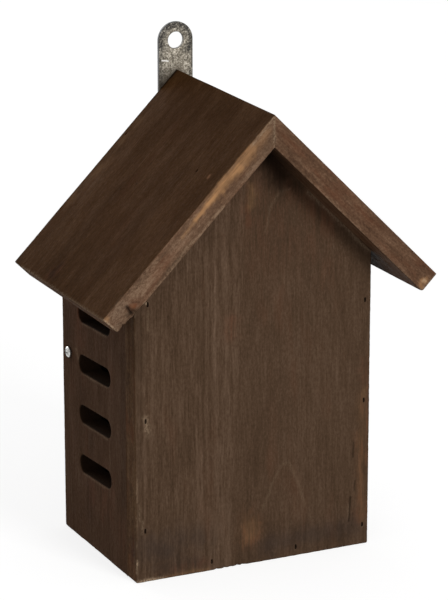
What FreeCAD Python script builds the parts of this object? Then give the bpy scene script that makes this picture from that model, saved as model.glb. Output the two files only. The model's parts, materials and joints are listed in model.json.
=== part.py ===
import FreeCAD, Part
import math
import os

# Ladybug house: a nailed box of stained boards under a pitched roof, hung on a wall by a steel plate.
# Slots in both side walls let the insects in, and a door that swings on two screws opens the back.
# Millimetres. +Z is up, the front faces -Y, and the origin is the middle of the base's underside.

# Body
body_width = 120.0
body_depth = 84.0
eave_height = 144.0  # where the outer side faces meet the roof's underside
front_thickness = 10.5
side_thickness = 10.5
floor_thickness = 10.5
back_thickness = 10.5

# Roof
roof_pitch = 45.0  # degrees
roof_thickness = 10.5
roof_front_overhang = 19.5
roof_side_overhang = 23.8  # side wall to the eave's edge, measured level

# Entrance slots, as many in each side wall as fit below the eave
slot_length = 37.2
slot_height = 8.8
slot_pitch = 24.8
slot_tilt = 3.4  # degrees, rising towards the front
lowest_slot_height = 39.6  # base to the lowest slot's middle
slot_eave_margin = 20.0  # least wood between the top slot and the eave
slot_offset = -0.8  # the slots lie a little forward of the wall's middle

# Clean-out door in the lower back
pivot_height = 90.0
door_above_pivot = 9.0
door_recess = 2.6  # the door's back lies inside the back edges of the walls
door_swing_clearance = 0.6  # between the turning door's corners and the panel above it
door_ground_clearance = 0.8  # between the turning door's corners and the ground
door_side_gap = 0.75
door_stop_gap = 0.3  # between the closed door and the floor board that stops it

# Hanger plate on the back
hanger_width = 17.5
hanger_thickness = 2.0
hanger_offset = -0.3  # the plate stands a little left of the ridge
hanger_hole_diameter = 8.0
hanger_hole_rise = 14.0  # ridge to the middle of the hanging hole
hanger_screw_drop = 12.0  # ridge's underside to the upper screw
hanger_screw_spacing = 25.0

# Screws
screw_shank_diameter = 3.0
screw_head_diameter = 5.2
screw_tip_length = 3.0
screw_fit_gap = 0.03  # round a screw in the wood or plate that it holds
pan_head_height = 1.8
pan_head_rim = 0.6  # height of the pan head's straight side
recess_length = 3.0
recess_width = 0.7
recess_depth = 1.0
hanger_screw_bite = 8.0  # length in the back panel
pivot_screw_bite = 12.0  # length in the door's edge
pivot_running_gap = 0.05  # round the screw where it turns in the side wall
pivot_head_gap = 0.2  # between the head and the side wall

# Brads, driven below the surface
brad_length = 25.0
brad_sink = 1.0
brad_head_long = 2.2
brad_head_short = 1.4
brad_head_height = 0.6
brad_shank_long = 1.3
brad_shank_short = 1.0
brad_point_length = 1.5

# Where the brads are driven
left_brad_low = 25.0  # heights above the base, at the front panel's left edge
left_brad_middle = 78.0
left_brad_below_eave = 11.0
left_brad_low_inset = 4.5  # from the front panel's left side
left_brad_middle_inset = 5.1
left_brad_top_inset = 6.6
right_brad_low = 9.8  # heights at its right edge
right_brad_middle = 72.0
right_brad_below_eave = 23.0
right_brad_inset = 3.0  # from the front panel's right side
floor_brad_height = 4.4
floor_brad_spacing = 43.6
roof_brad_from_ridge = 39.0  # along the slope
roof_brad_inset = 3.0  # from the faces of the front panel and the back

# Places that follow from the sizes above
pitch = math.radians(roof_pitch)
half_width = body_width / 2
inner_half_width = half_width - side_thickness
front_y = -body_depth / 2
back_y = body_depth / 2
front_inner_y = front_y + front_thickness
back_inner_y = back_y - back_thickness
ridge_underside_z = eave_height + half_width * math.tan(pitch)
ridge_z = ridge_underside_z + roof_thickness / math.cos(pitch)
wall_inner_top_z = ridge_underside_z - inner_half_width * math.tan(pitch)

half_back = back_thickness / 2
door_outer_y = back_y - door_recess
door_inner_y = door_outer_y - back_thickness
pivot_y = door_outer_y - half_back
door_half_width = inner_half_width - door_side_gap
door_top_z = pivot_height + door_above_pivot
door_bottom_z = pivot_height - math.sqrt((pivot_height - door_ground_clearance) ** 2 - half_back ** 2)
back_panel_bottom_z = pivot_height + math.hypot(door_above_pivot, half_back) + door_swing_clearance

hanger_back_y = back_y + hanger_thickness
hanger_hole_z = ridge_z + hanger_hole_rise
hanger_upper_screw_z = ridge_underside_z - hanger_screw_drop
hanger_lower_screw_z = hanger_upper_screw_z - hanger_screw_spacing

shank_radius = screw_shank_diameter / 2
head_radius = screw_head_diameter / 2
sink_depth = head_radius - shank_radius  # a flat head's cone is at 45 degrees

ORIGIN = FreeCAD.Vector(0, 0, 0)
X_AXIS = FreeCAD.Vector(1, 0, 0)
Y_AXIS = FreeCAD.Vector(0, 1, 0)
Z_AXIS = FreeCAD.Vector(0, 0, 1)


def box(x, y, z):
    """A box from three (low, high) pairs."""
    sides = [high - low for low, high in (x, y, z)]
    return Part.makeBox(*sides, FreeCAD.Vector(x[0], y[0], z[0]))


def about(middle, size):
    """The (low, high) pair of a length about its middle."""
    return middle - size / 2, middle + size / 2


def cylinder(radius, length, point, along):
    return Part.makeCylinder(radius, length, FreeCAD.Vector(*point), along)


def prism(outline, y_low, y_high):
    """A board whose (x, z) outline runs from y_low to y_high."""
    corners = [FreeCAD.Vector(x, y_low, z) for x, z in outline]
    face = Part.Face(Part.makePolygon(corners + corners[:1]))
    return face.extrude(Y_AXIS * (y_high - y_low))


def placed(shape, point, along, across):
    """A copy of a shape drawn at the origin, moved to a point, its Z turned to along and its X to across."""
    copy = shape.copy()
    turn = FreeCAD.Rotation(across, along.cross(across), along, "ZXY")
    copy.Placement = FreeCAD.Placement(FreeCAD.Vector(*point), turn)
    return copy


def driven(fastener, places):
    """One copy of a fastener, or of its hole, at each place."""
    return [placed(fastener, *place) for place in places]


def mirrored(shape):
    """The same shape on the other side of the house."""
    return shape.mirror(ORIGIN, X_AXIS)


def mirrored_all(shapes):
    return [mirrored(shape) for shape in shapes]


def both_sides(shapes):
    return shapes + mirrored_all(shapes)


def cut_all(shape, tools):
    return shape.cut(Part.makeCompound(tools)).Solids[0]


# Fasteners, drawn at the origin and driven along +Z


def brad():
    """A machine-driven brad, its head sunk below the surface at the origin."""
    head_low = brad_sink
    shank_low = head_low + brad_head_height
    tip = brad_sink + brad_length
    point_low = tip - brad_point_length
    left, right = about(0, brad_shank_long)
    head = box(about(0, brad_head_long), about(0, brad_head_short), (head_low, shank_low))
    outline = [(left, shank_low), (right, shank_low), (right, point_low), (0, tip), (left, point_low)]
    stem = prism(outline, *about(0, brad_shank_short))
    return head.fuse(stem).removeSplitter()


def brad_hole():
    """What a brad leaves in the wood: its own shape, and the pit that its driver pressed above it."""
    pit = box(about(0, brad_head_long), about(0, brad_head_short), (-brad_sink, brad_sink))
    return brad().fuse(pit)


def cross_recess():
    depth = (0, recess_depth)
    arm = box(about(0, recess_length), about(0, recess_width), depth)
    other = box(about(0, recess_width), about(0, recess_length), depth)
    return arm.fuse(other)


def shank(length):
    """A screw's shank from the origin along +Z, with its point."""
    straight = length - screw_tip_length
    tip = Part.makeCone(shank_radius, 0, screw_tip_length, Z_AXIS * straight)
    return Part.makeCylinder(shank_radius, straight).fuse(tip)


def pan_head_screw(length):
    """Its domed head stands on the surface at the origin, on the -Z side."""
    dome_rise = pan_head_height - pan_head_rim
    dome_radius = (head_radius ** 2 + dome_rise ** 2) / (2 * dome_rise)
    dome = Part.makeSphere(dome_radius, Z_AXIS * (dome_radius - pan_head_height))
    head = cylinder(head_radius, pan_head_height, ORIGIN, -Z_AXIS).common(dome)
    recess = cross_recess()
    recess.translate(-Z_AXIS * pan_head_height)
    return head.fuse(shank(length)).removeSplitter().cut(recess)


def flat_head_screw(length):
    """Its head lies flush with the surface at the origin."""
    head = Part.makeCone(head_radius, shank_radius, sink_depth)
    return head.fuse(shank(length)).removeSplitter().cut(cross_recess())


def flat_head_hole(length):
    """The countersunk hole that a flat-head screw fills."""
    radius = shank_radius + screw_fit_gap
    sink = Part.makeCone(head_radius + screw_fit_gap, radius, sink_depth)
    return sink.fuse(Part.makeCylinder(radius, length))


# Each fastener's place: a point on the surface, the way it is driven and the way its head's long side lies


def left_front_brad_places():
    insets = (left_brad_low_inset, left_brad_middle_inset, left_brad_top_inset)
    heights = (left_brad_low, left_brad_middle, eave_height - left_brad_below_eave)
    return [((inset - half_width, front_y, z), Y_AXIS, Z_AXIS) for inset, z in zip(insets, heights)]


def right_front_brad_places():
    x = half_width - right_brad_inset
    heights = (right_brad_low, right_brad_middle, eave_height - right_brad_below_eave)
    return [((x, front_y, z), Y_AXIS, Z_AXIS) for z in heights]


def floor_brad_places():
    return [((x, front_y, floor_brad_height), Y_AXIS, Z_AXIS) for x in about(0, floor_brad_spacing)]


def left_roof_brad_places():
    """Square to the left slope, through the roof board into the front panel and the back panel."""
    x = -roof_brad_from_ridge * math.cos(pitch)
    z = ridge_z - roof_brad_from_ridge * math.sin(pitch)
    inward = FreeCAD.Vector(math.sin(pitch), 0, -math.cos(pitch))
    downhill = FreeCAD.Vector(-math.cos(pitch), 0, -math.sin(pitch))
    return [((x, y, z), inward, downhill) for y in (front_y + roof_brad_inset, back_y - roof_brad_inset)]


def left_back_brad_places():
    """Through the left wall into the edge of the back panel."""
    z = (back_panel_bottom_z + eave_height) / 2
    return [((-half_width, back_y - half_back, z), X_AXIS, Z_AXIS)]


def hanger_screw_places():
    heights = (hanger_lower_screw_z, hanger_upper_screw_z)
    return [((hanger_offset, hanger_back_y, z), -Y_AXIS, X_AXIS) for z in heights]


def brads(places):
    return driven(brad(), places)


def brad_holes(places):
    return driven(brad_hole(), places)


def hanger_screw_holes():
    return driven(flat_head_hole(hanger_thickness + hanger_screw_bite), hanger_screw_places())


def left_pivot_bore(gap, x, length):
    """Round the left pivot screw, from x inwards."""
    return cylinder(shank_radius + gap, length, (x, pivot_y, pivot_height), X_AXIS)


# Boards


def front_panel():
    outline = [(-half_width, 0), (half_width, 0), (half_width, eave_height),
               (0, ridge_underside_z), (-half_width, eave_height)]
    face_holes = brad_holes(left_front_brad_places() + right_front_brad_places() + floor_brad_places())
    roof_holes = both_sides(brad_holes(left_roof_brad_places()))
    return cut_all(prism(outline, front_y, front_inner_y), face_holes + roof_holes)


def entrance_slots():
    """Round-ended slots through the left wall."""
    middle_y = (front_inner_y + back_y) / 2 + slot_offset
    straight_length = slot_length - slot_height
    ends_y = about(middle_y, straight_length)
    rise = (slot_height + straight_length * math.sin(math.radians(slot_tilt))) / 2
    room = eave_height - slot_eave_margin - rise - lowest_slot_height
    slots = []
    for i in range(int(room // slot_pitch) + 1):
        z = lowest_slot_height + i * slot_pitch
        straight = box((-half_width, -inner_half_width), ends_y, about(z, slot_height))
        ends = [cylinder(slot_height / 2, side_thickness, (-half_width, y, z), X_AXIS) for y in ends_y]
        slot = straight.multiFuse(ends).removeSplitter()
        slot.rotate(FreeCAD.Vector(0, middle_y, z), X_AXIS, -slot_tilt)
        slots.append(slot)
    return slots


def side_wall():
    """The left wall, its top bevelled to the roof, before the front panel is nailed to it."""
    outline = [(-half_width, 0), (-inner_half_width, 0), (-inner_half_width, wall_inner_top_z),
               (-half_width, eave_height)]
    pivot_bore = left_pivot_bore(pivot_running_gap, -half_width, side_thickness)
    holes = entrance_slots() + [pivot_bore] + brad_holes(left_back_brad_places())
    return cut_all(prism(outline, front_inner_y, back_y), holes)


def left_wall():
    return cut_all(side_wall(), brad_holes(left_front_brad_places()))


def right_wall():
    return cut_all(mirrored(side_wall()), brad_holes(right_front_brad_places()))


def floor_board():
    depth = (front_inner_y, door_inner_y - door_stop_gap)
    board = box((-inner_half_width, inner_half_width), depth, (0, floor_thickness))
    return cut_all(board, brad_holes(floor_brad_places()))


def back_panel():
    """The fixed upper back, which carries the hanger plate."""
    outline = [(-inner_half_width, back_panel_bottom_z), (inner_half_width, back_panel_bottom_z),
               (inner_half_width, wall_inner_top_z), (0, ridge_underside_z),
               (-inner_half_width, wall_inner_top_z)]
    holes = both_sides(brad_holes(left_roof_brad_places() + left_back_brad_places()))
    return cut_all(prism(outline, back_inner_y, back_y), holes + hanger_screw_holes())


def left_roof_board():
    """Mitred at the ridge and cut square at the eave."""
    eave_x = -half_width - roof_side_overhang
    eave_z = ridge_z + eave_x * math.tan(pitch)
    eave_corner = (eave_x + roof_thickness * math.sin(pitch), eave_z - roof_thickness * math.cos(pitch))
    outline = [(0, ridge_z), (0, ridge_underside_z), eave_corner, (eave_x, eave_z)]
    board = prism(outline, front_y - roof_front_overhang, back_y)
    return cut_all(board, brad_holes(left_roof_brad_places()))


def back_door():
    """Hangs between the side walls on the two pivot screws."""
    board = box((-door_half_width, door_half_width), (door_inner_y, door_outer_y), (door_bottom_z, door_top_z))
    return cut_all(board, both_sides([left_pivot_bore(screw_fit_gap, -door_half_width, pivot_screw_bite)]))


# Metal


def hanger_plate():
    """A flat strip with round ends, the hanging hole near its top and two countersunk screw holes."""
    ends_z = (hanger_lower_screw_z, hanger_hole_z)
    strip = box(about(hanger_offset, hanger_width), (back_y, hanger_back_y), ends_z)
    ends = [cylinder(hanger_width / 2, hanger_thickness, (hanger_offset, back_y, z), Y_AXIS) for z in ends_z]
    hole_at = (hanger_offset, back_y, hanger_hole_z)
    hole = cylinder(hanger_hole_diameter / 2, hanger_thickness, hole_at, Y_AXIS)
    return cut_all(strip.multiFuse(ends).removeSplitter(), [hole] + hanger_screw_holes())


def hanger_screws():
    return driven(flat_head_screw(hanger_thickness + hanger_screw_bite), hanger_screw_places())


def left_pivot_screw():
    """Fixed in the door's edge, and turning with it in the side wall."""
    length = pivot_head_gap + side_thickness + door_side_gap + pivot_screw_bite
    head_at = (-half_width - pivot_head_gap, pivot_y, pivot_height)
    return placed(pan_head_screw(length), head_at, X_AXIS, Y_AXIS)


def nodes():
    """Each node's name and its solids."""
    left_roof_brads = brads(left_roof_brad_places())
    left_back_brad = brads(left_back_brad_places())
    return {
        "front_panel": [front_panel()],
        "left_wall": [left_wall()],
        "right_wall": [right_wall()],
        "floor_board": [floor_board()],
        "back_panel": [back_panel()],
        "left_roof_board": [left_roof_board()],
        "right_roof_board": [mirrored(left_roof_board())],
        "back_door": [back_door()],
        "left_pivot_screw": [left_pivot_screw()],
        "right_pivot_screw": [mirrored(left_pivot_screw())],
        "hanger_plate": [hanger_plate()],
        "hanger_screws": hanger_screws(),
        "left_front_brads": brads(left_front_brad_places()),
        "right_front_brads": brads(right_front_brad_places()),
        "floor_brads": brads(floor_brad_places()),
        "left_roof_brads": left_roof_brads,
        "right_roof_brads": mirrored_all(left_roof_brads),
        "left_back_brad": left_back_brad,
        "right_back_brad": mirrored_all(left_back_brad),
    }


def main():
    os.makedirs("parts", exist_ok=True)
    for name, solids in nodes().items():
        shape = solids[0] if len(solids) == 1 else Part.makeCompound(solids)
        shape.exportStep(f"parts/{name}.step")
        print(f"{name}: {len(shape.Solids)} solids, {shape.Volume:.1f} mm3, valid {shape.isValid()}")


main()
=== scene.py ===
"""A ladybug house of stained boards: the looks of its boards, plate, screws and brads.

Shapes are worked out in millimetres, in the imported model's own frame, and become metres when a
mesh is made.
"""

import json
import math
import random

import bpy
import numpy as np
from mathutils import Matrix, Vector, noise
from mathutils.geometry import delaunay_2d_cdt


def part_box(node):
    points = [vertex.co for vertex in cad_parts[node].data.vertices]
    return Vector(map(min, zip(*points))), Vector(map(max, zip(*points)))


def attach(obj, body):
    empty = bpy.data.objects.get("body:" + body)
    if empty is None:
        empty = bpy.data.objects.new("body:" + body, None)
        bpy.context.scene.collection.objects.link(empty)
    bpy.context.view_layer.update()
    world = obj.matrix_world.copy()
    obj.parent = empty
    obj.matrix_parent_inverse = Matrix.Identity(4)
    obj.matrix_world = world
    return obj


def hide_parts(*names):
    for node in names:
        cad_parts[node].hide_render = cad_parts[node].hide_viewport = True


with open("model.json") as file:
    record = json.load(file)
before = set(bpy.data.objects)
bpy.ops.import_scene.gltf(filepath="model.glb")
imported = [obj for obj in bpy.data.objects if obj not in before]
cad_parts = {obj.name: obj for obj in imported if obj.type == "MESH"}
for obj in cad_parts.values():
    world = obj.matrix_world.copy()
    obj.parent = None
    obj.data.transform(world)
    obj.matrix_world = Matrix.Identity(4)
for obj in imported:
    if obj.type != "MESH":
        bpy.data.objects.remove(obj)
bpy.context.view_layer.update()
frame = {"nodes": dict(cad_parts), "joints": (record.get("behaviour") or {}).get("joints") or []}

MM = 0.001


def new_object(name, data):
    """A mesh, lamp or camera in the scene."""
    thing = bpy.data.objects.new(name, data)
    bpy.context.scene.collection.objects.link(thing)
    return thing


def box_mm(node):
    """A node's lowest and highest corners."""
    low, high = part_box(node)
    return low / MM, high / MM


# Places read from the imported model

front_low, front_high = box_mm("front_panel")
wall_high = box_mm("left_wall")[1]
floor_low, floor_high = box_mm("floor_board")
back_low, back_high = box_mm("back_panel")
door_low, door_high = box_mm("back_door")
roof_low, roof_high = box_mm("left_roof_board")
plate_low, plate_high = box_mm("hanger_plate")

half_width = front_high.x
inner_half_width = -wall_high.x
front_y = front_low.y
front_inner_y = front_high.y
back_y = wall_high.y
ridge_underside = front_high.z
ridge_top = roof_high.z
wall_inner_top = wall_high.z
slope = (ridge_underside - wall_inner_top) / inner_half_width
pitch = math.atan(slope)
roof_thickness = (ridge_top - ridge_underside) * math.cos(pitch)
eave_height = ridge_underside - half_width * slope
rim_y = roof_low.y
eave_x = roof_low.x
eave_top = ridge_top + eave_x * slope
eave_underside = roof_low.z
eave_inner_x = eave_x + (eave_top - eave_underside) * slope

X = Vector((1, 0, 0))
Y = Vector((0, 1, 0))
Z = Vector((0, 0, 1))
LEFT_SLOPE = Vector((-math.cos(pitch), 0, -math.sin(pitch)))
LEFT_ROOF = Vector((-math.sin(pitch), 0, math.cos(pitch)))
RIGHT_SLOPE = Vector((math.cos(pitch), 0, -math.sin(pitch)))
RIGHT_ROOF = Vector((math.sin(pitch), 0, math.cos(pitch)))

# Entrance slots, in both side walls
SLOT_LENGTH = 37.2
SLOT_HEIGHT = 8.8
SLOT_PITCH = 24.8
SLOT_TILT = math.radians(3.4)  # rising towards the front
LOWEST_SLOT = 39.6
SLOT_COUNT = 4
SLOT_OFFSET = -0.8  # the slots lie a little forward of the wall's middle
SLOT_MIDDLE_Y = (front_inner_y + back_y) / 2 + SLOT_OFFSET
SLOT_FORWARD = Vector((0, -math.cos(SLOT_TILT), math.sin(SLOT_TILT)))
SLOT_DOWN = Vector((0, -math.sin(SLOT_TILT), -math.cos(SLOT_TILT)))

# Fastener holes
HEAD_REACH = 8.0  # wider than any head, and less than the gap between two
HEAD_FLATNESS = 0.05  # how far the points of a head's face differ in depth
PIT_LONG = 2.2
PIT_SHORT = 0.85
PIT_DEPTH = 1.4
PIT_TAPER = 0.9  # a pit's bottom, as a share of its mouth
PIT_EDGE = 0.22
ROOF_PIT_SIZE = 0.75  # as a share of the front panel's pits
PIVOT_BORE_RADIUS = 1.56
PLATE_HOLE_RADIUS = 4.0
PLATE_SINK_RADIUS = 2.65
PLATE_SHANK_RADIUS = 1.6

# Board edges
EDGE_RADIUS = 0.55
ROOF_EDGE_RADIUS = 0.28
CORNER_RADIUS = 0.8
JOINT_CORNER = 0.12  # where either side is joined to another board
JOINT_EASE = 0.06  # share of the edge radius where a side is joined to another board
EDGE_STEPS = (0.0, 0.34, 0.67, 1.0)
EDGE_WEAR = (0.45, 1.0, 1.0, 0.55)

# How far apart a mesh's points lie
EDGE_SPACING = 0.7
RIM_SPACING = 0.9
FACE_SPACING = 3.0
HIDDEN_SPACING = 7.0  # on inner faces that hardly show
PLATE_SPACING = 0.9
ROW_SHARE = 0.87  # rows of a lattice of triangles, as a share of its spacing
JITTER = 0.3
BAND_STEPS = (0.8, 1.9)  # rows of points behind each edge, for marks that end there
MARK_RINGS = ((0.0, 1), (0.6, 6), (1.2, 9), (2.2, 9))  # share of a mark's radius, and points round it
FINE_MARK = 1.0  # a mark of this radius or more does without the last ring
SPOT_GAP = 0.35  # least distance of a face's points from its edges

# Stain and marks
INSIDE_PAINTED_SHADE = 0.4  # painted shade: the nest's inner faces are darkened
# painted shade that darkens the slots' sawn sides
SLOT_PAINTED_SHADE = 0.82
PIT_GLOOM = 0.85
SOFFIT_PAINTED_LIGHT = 0.7  # painted light: the roof's underside is made nearly as pale as its sawn edges
RIM_MARK_BOUND = 4.0  # how much sooner a mark on a sawn edge or inner face ends beyond its arris
ON_FACE = 0.01  # a mark this near a face lies on it
MARK_SWAY = 1.5
SWAY_TURNS = 0.12  # values named TURNS are turns of a noise per millimetre
RAGGED_SHARE = 0.55
RAGGED_TURNS = 0.55

# Unevenness of the boards
WARP = 0.12
WARP_TURNS_ALONG = 0.012
WARP_TURNS_ACROSS = 0.03
EASE_TURNS_SLOW = 0.05
EASE_TURNS_QUICK = 0.45
EASE_SLOW = 0.9
EASE_QUICK = 0.8
LEAST_EASE = 0.3  # share of the edge radius that is always left
CHIP_TURNS = 0.9
CHIP_DEPTH = 0.75  # mean share of a chip's depth
CHIP_ROUGHNESS = 0.6


# Shader graphs


class Value:
    """What a node puts out. Sums, differences and products of values add nodes."""

    def __init__(self, shader, socket):
        self.shader = shader
        self.socket = socket

    def __add__(self, other):
        return self.shader.math("ADD", self, other)

    def __sub__(self, other):
        return self.shader.math("SUBTRACT", self, other)

    def __mul__(self, other):
        return self.shader.math("MULTIPLY", self, other)

    __radd__ = __add__

    def swing(self, amount):
        """A noise turned into a change of up to about amount either way."""
        return (self - 0.5) * (2 * amount)

    def spread(self, low, high, to_low=0.0, to_high=1.0):
        """A smooth step from low to high."""
        values = {"Value": self, "From Min": low, "From Max": high, "To Min": to_low, "To Max": to_high}
        return self.shader.add("MapRange", values, interpolation_type="SMOOTHSTEP")


class Shader:
    """The nodes of a material or of the world."""

    def __init__(self, block):
        block.use_nodes = True
        self.block = block
        self.tree = block.node_tree
        self.surface = self.tree.nodes.get("Principled BSDF") or self.tree.nodes["Background"]

    def put(self, node, values):
        """Links values to a node's sockets, or sets the sockets' own numbers and colours."""
        for socket, value in values.items():
            if isinstance(value, Value):
                self.tree.links.new(value.socket, node.inputs[socket])
            else:
                node.inputs[socket].default_value = value

    def node(self, kind, values, **settings):
        node = self.tree.nodes.new("ShaderNode" + kind)
        for key, value in settings.items():
            setattr(node, key, value)
        self.put(node, values)
        return node

    def add(self, kind, values, output=0, **settings):
        """Adds a node and returns what it puts out."""
        return Value(self, self.node(kind, values, **settings).outputs[output])

    def math(self, operation, a, b=0.0):
        return self.add("Math", {0: a, 1: b}, operation=operation)

    def vector(self, operation, a, b):
        return self.add("VectorMath", {0: a, 1: b}, operation=operation)

    def coordinates(self, shift):
        """Object coordinates in millimetres: X along the grain, Y across it and Z out of the face."""
        position = self.add("TexCoord", {}, "Object")
        return self.vector("ADD", self.vector("MULTIPLY", position, (1 / MM,) * 3), shift)

    def noise(self, where, stretch, detail=3.0, roughness=0.55):
        """Noise with features about one over each stretch long."""
        scaled = self.vector("MULTIPLY", where, stretch)
        values = {"Vector": scaled, "Scale": 1.0, "Detail": detail, "Roughness": roughness}
        return self.add("TexNoise", values)

    def mix(self, factor, a, b):
        return self.add("Mix", {0: factor, 6: a, 7: b}, 2, data_type="RGBA", clamp_factor=True)

    def ramp(self, factor, stops):
        node = self.node("ValToRGB", {0: factor})
        elements = node.color_ramp.elements
        for _ in stops[2:]:
            elements.new(0.5)
        for element, (place, colour) in zip(elements, stops):
            element.position = place
            element.color = colour
        return Value(self, node.outputs[0])

    def attribute(self, name):
        return self.add("Attribute", {}, "Fac", attribute_name=name)

    def bump(self, height, strength, distance):
        values = {"Height": height, "Strength": strength, "Distance": distance}
        self.put(self.surface, {"Normal": self.add("Bump", values)})


def rgb(red, green, blue):
    return (red, green, blue, 1.0)


# Colours of the stained wood, linear, against how light the stain came out
STAIN_TONES = ((0.05, (0.034, 0.0195, 0.0102)), (0.45, (0.068, 0.0395, 0.0225)),
               (0.75, (0.104, 0.064, 0.0395)), (1.0, (0.150, 0.097, 0.062)))
RIM_TONES = ((0.08, (0.050, 0.028, 0.018)), (0.5, (0.120, 0.070, 0.044)), (0.95, (0.245, 0.163, 0.110)))
AS_WRITTEN = (1.0, 1.0, 1.0)
RED_WOOD = rgb(0.125, 0.042, 0.020)
BARE_WOOD = rgb(0.420, 0.222, 0.098)
DRY_WOOD = rgb(0.360, 0.255, 0.165)
SOIL = rgb(0.042, 0.030, 0.025)
DARK_MARKS_AND_SHADE = rgb(0.007, 0.004, 0.0022)
WOOD_SHINE = 0.03
SEED_SHIFT = Vector((37.0, 11.0, 5.0))  # from one board's noise to the next's


def tinted(tones, tint):
    """The stops of a ramp, each colour times the tint."""
    return [(place, rgb(*(part * share for part, share in zip(colour, tint)))) for place, colour in tones]


class Grain:
    """Noise that runs with a board's grain, which its colours, marks and relief share."""

    def __init__(self, shader, seed):
        self.shader = shader
        self.where = shader.coordinates(tuple(SEED_SHIFT * seed))
        self.fibre = self.noise(0.018, 0.40, 4.0, 0.6)
        self.hair = self.noise(0.10, 1.15, 3.0, 0.7)
        self.speck = self.noise(0.55, 1.0, 3.0, 0.75)
        self.blotch = self.noise(0.05, 0.12, 4.0, 0.65)
        self.nap = self.noise(0.7, 1.2, 3.0, 0.75)

    def noise(self, along, across, detail=3.0, roughness=0.55):
        """Noise with features about one over along long, and one over across wide."""
        return self.shader.noise(self.where, (along, across, across), detail, roughness)


def growth_rings(shader, grain, axes, pith, lean):
    """Irregular bands in the distance from the pith."""
    along, across, out = axes
    side = across + grain.noise(0.010, 0.03, 2.0).swing(2.0) - pith[0]
    depth = out + along * lean - pith[1]
    distance = shader.math("SQRT", side * side + depth * depth)
    warped = distance + grain.noise(0.02, 0.25).swing(0.5)
    values = {"W": warped, "Scale": 0.42, "Detail": 2.5, "Roughness": 0.7}
    return shader.add("TexNoise", values, noise_dimensions="1D").swing(0.13)


def stain_tone(grain, rings, plain, patchy):
    """How light the stain came out on the faces: rings, fibres, flecks and clouds."""
    fleck = grain.noise(0.25, 1.0, 2.0).spread(0.64, 0.76, 0.0, 0.14)
    lines = rings + grain.fibre.swing(0.20) + grain.hair.swing(0.30) + fleck
    cloud = grain.noise(0.011, 0.035, 3.0, 0.6).swing(0.16 * patchy)
    return 0.45 + lines * plain + grain.speck.swing(0.40) + cloud + grain.blotch.swing(0.16 * patchy)


def rim_colour(shader, grain, rings, tint):
    """Sawn edges, which took the stain unevenly."""
    fibres = grain.fibre.swing(0.30) + grain.hair.swing(0.15)
    patches = grain.noise(0.06, 0.22, 4.0, 0.6).swing(0.42) + grain.nap.swing(0.52)
    tone = 0.52 + patches + rings * 1.2 + fibres
    pink = grain.noise(0.05, 0.2).spread(0.45, 0.7, 0.0, 0.35)
    return shader.mix(pink, shader.ramp(tone, tinted(RIM_TONES, tint)), RED_WOOD)


def marked(shader, grain, colour):
    """A colour with the marks on it: reddish, bare and dry wood, rubbed edges, soil, and dark marks, some of
    which are painted shade.
    """
    mottle = 0.5 + grain.fibre.swing(0.7) + grain.blotch.swing(0.8) + grain.hair.swing(0.7)
    rubbed = grain.noise(0.16, 0.3, 4.0, 0.65)
    for kind, shows, paint in (
        ("warm", mottle.spread(0.25, 0.8, 0.1, 1.25), RED_WOOD),
        ("bare", mottle.spread(0.15, 0.7, 0.55, 1.05), BARE_WOOD),
        ("dry", grain.nap.spread(0.36, 0.60, 0.1, 1.1), DRY_WOOD),
        ("edge", rubbed.spread(0.54, 0.78, 0.01, 0.34), DRY_WOOD),
        ("soil", grain.blotch.spread(0.3, 0.65, 0.5, 1.1), SOIL),
    ):
        colour = shader.mix(shader.attribute(kind) * shows, colour, paint)
    return shader.mix(shader.attribute("dark"), colour, DARK_MARKS_AND_SHADE)


def stained_wood(name, pith, tilt, seed, tint=AS_WRITTEN, rim_tint=AS_WRITTEN, streak=1.0, patchy=1.0,
                 change=None):
    """Stained softwood. The growth rings lie round the pith, which lies (across, out) from the board's
    middle line and tilts along the grain. tint is the board's own shade of the stain, and rim_tint that
    of its sawn edges. streak is how plainly the fibres show, and patchy how uneven the stain is. change
    is a line, as its place across the grain and its lean, beyond which the fibres show more."""
    shader = Shader(bpy.data.materials.new(name))
    grain = Grain(shader, seed)
    where = shader.coordinates((0.0, 0.0, 0.0))
    axes = [shader.add("SeparateXYZ", {0: where}, output) for output in "XYZ"]
    lean = -tilt
    plain = streak
    if change is not None:
        beyond = axes[1] - axes[0] * change[1] - change[0]
        lean = beyond.spread(-1.0, 1.0, -tilt, 0.0)
        plain = beyond.spread(-1.0, 1.0, 0.8 * streak, 1.4 * streak)
    rings = growth_rings(shader, grain, axes, pith, lean)
    tone = stain_tone(grain, rings, plain, patchy)
    if change is not None:
        tone += beyond.spread(-1.0, 1.0, -0.02, 0.11) + beyond.spread(9.0, 24.0, 0.0, -0.09)
    warmth = grain.noise(0.02, 0.09).spread(0.55, 0.85, 0.0, 0.2)
    face = shader.mix(warmth, shader.ramp(tone, tinted(STAIN_TONES, tint)), RED_WOOD)
    colour = shader.mix(shader.attribute("rim"), face, rim_colour(shader, grain, rings, rim_tint))
    shader.put(shader.surface, {
        "Base Color": marked(shader, grain, colour),
        "Specular IOR Level": WOOD_SHINE,
        "Roughness": (tone + grain.hair.swing(0.3)).spread(0.1, 0.9, 0.88, 0.62),
    })
    relief = grain.fibre * 0.9 + grain.hair * 0.8 + grain.speck * 0.35 + rings * 1.5
    shader.bump(relief, 0.5, 0.22 * MM)
    return shader.block


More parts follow.
